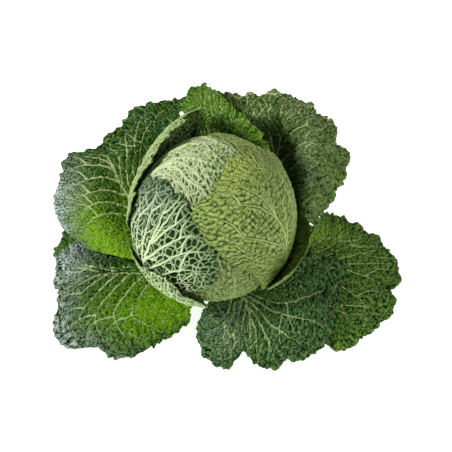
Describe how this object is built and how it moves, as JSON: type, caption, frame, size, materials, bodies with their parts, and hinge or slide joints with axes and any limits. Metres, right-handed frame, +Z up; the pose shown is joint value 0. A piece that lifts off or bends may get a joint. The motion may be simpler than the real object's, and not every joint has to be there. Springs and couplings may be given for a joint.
{
  "type": "savoy cabbage",
  "caption": "Round crinkled cabbage head on a short cut stem, wrapped by veined head leaves and ringed by broad blistered outer leaves that open to the sides.",
  "frame": {"origin": "centre of the flat face where the stem was cut", "axes": "+Z up along the stem, +X to the right across the widest spread of the leaves, +Y to the back"},
  "size_m": [0.3729, 0.258, 0.2004],
  "materials": {
    "stem_flesh": "cut stem flesh, moist and matte, pale cream green",
    "heart_leaf": "tight pale inner leaves, crinkled, soft sheen",
    "pale_head_leaf": "pale green crinkled leaf with a white network of veins, soft sheen",
    "head_leaf": "olive green crinkled leaf with pale veins and small dark hollows, soft sheen",
    "dark_head_leaf": "dark green crinkled leaf with thick cream veins, thin waxy bloom",
    "bright_outer_leaf": "blistered leaf, yellow-green throat and darker waxy margin",
    "dark_outer_leaf": "blistered dark blue-green leaf with a waxy bloom and pale veins"
  },
  "bodies": {
    "root": {"stem": "stem_flesh", "heart": "heart_leaf", "head_leaf_crown": "pale_head_leaf", "head_leaf_back": "head_leaf", "head_leaf_front": "head_leaf", "head_leaf_left": "dark_head_leaf", "head_leaf_low": "pale_head_leaf", "head_leaf_right": "head_leaf", "loose_leaf_left": "pale_head_leaf", "loose_leaf_right": "head_leaf", "under_leaf_left": "dark_outer_leaf", "under_leaf_back": "dark_outer_leaf", "outer_leaf_front_left": "bright_outer_leaf", "outer_leaf_right": "dark_outer_leaf", "outer_leaf_left": "bright_outer_leaf", "outer_leaf_front_right": "dark_outer_leaf", "outer_leaf_back_outer": "dark_outer_leaf", "outer_leaf_back_inner": "bright_outer_leaf"}
  },
  "joints": []
}
